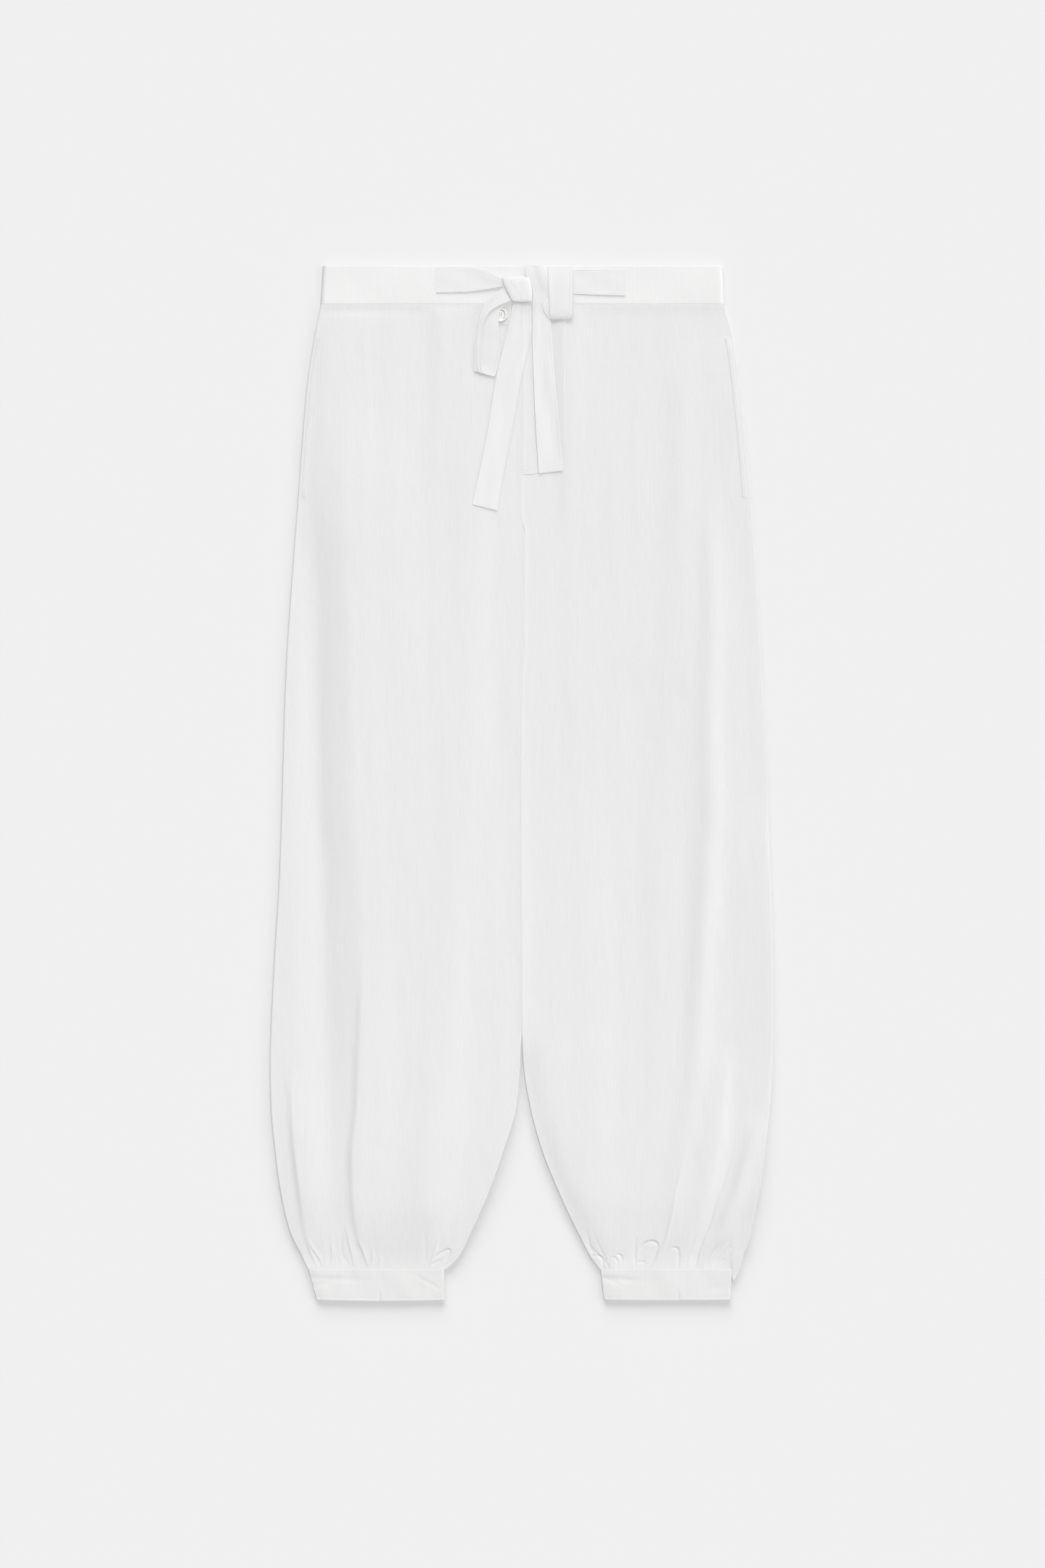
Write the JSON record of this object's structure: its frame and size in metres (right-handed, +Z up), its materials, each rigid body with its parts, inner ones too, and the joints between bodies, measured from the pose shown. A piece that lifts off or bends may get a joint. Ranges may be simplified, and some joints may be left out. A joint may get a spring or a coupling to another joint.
{
  "type": "balloon trousers laid flat",
  "caption": "White balloon trousers laid flat, with full legs gathered into ankle cuffs, a flat waistband over a fly, side-seam pockets and a waist tie in a bow.",
  "frame": {"origin": "on the surface that the garment lies on, under the middle of its outline", "axes": "+Y from the cuffs to the waist, +X to the right as seen from above with the waist away, +Z up"},
  "size_m": [0.501, 1.026, 0.0186],
  "materials": {
    "leg_cloth": "matte plain weave",
    "band_cloth": "matte plain weave, pressed",
    "tie_cloth": "matte plain weave, pressed",
    "button_shell": "soft gloss"
  },
  "bodies": {
    "root": {"front_panel_left": "leg_cloth", "front_panel_right": "leg_cloth", "back_panel_left": "leg_cloth", "back_panel_right": "leg_cloth", "fly_placket": "leg_cloth", "pocket_edge_left": "leg_cloth", "pocket_edge_right": "leg_cloth", "button_tab": "leg_cloth", "waistband_front_left": "band_cloth", "waistband_front_right": "band_cloth", "waistband_back": "band_cloth", "cuff_left": "band_cloth", "cuff_right": "band_cloth", "tie_strap_left": "tie_cloth", "tie_strap_right": "tie_cloth", "tie_knot": "tie_cloth", "bow_loop_left": "tie_cloth", "bow_loop_right": "tie_cloth", "tie_tail_left": "tie_cloth", "tie_tail_right": "tie_cloth", "waist_button": "button_shell"}
  },
  "joints": []
}
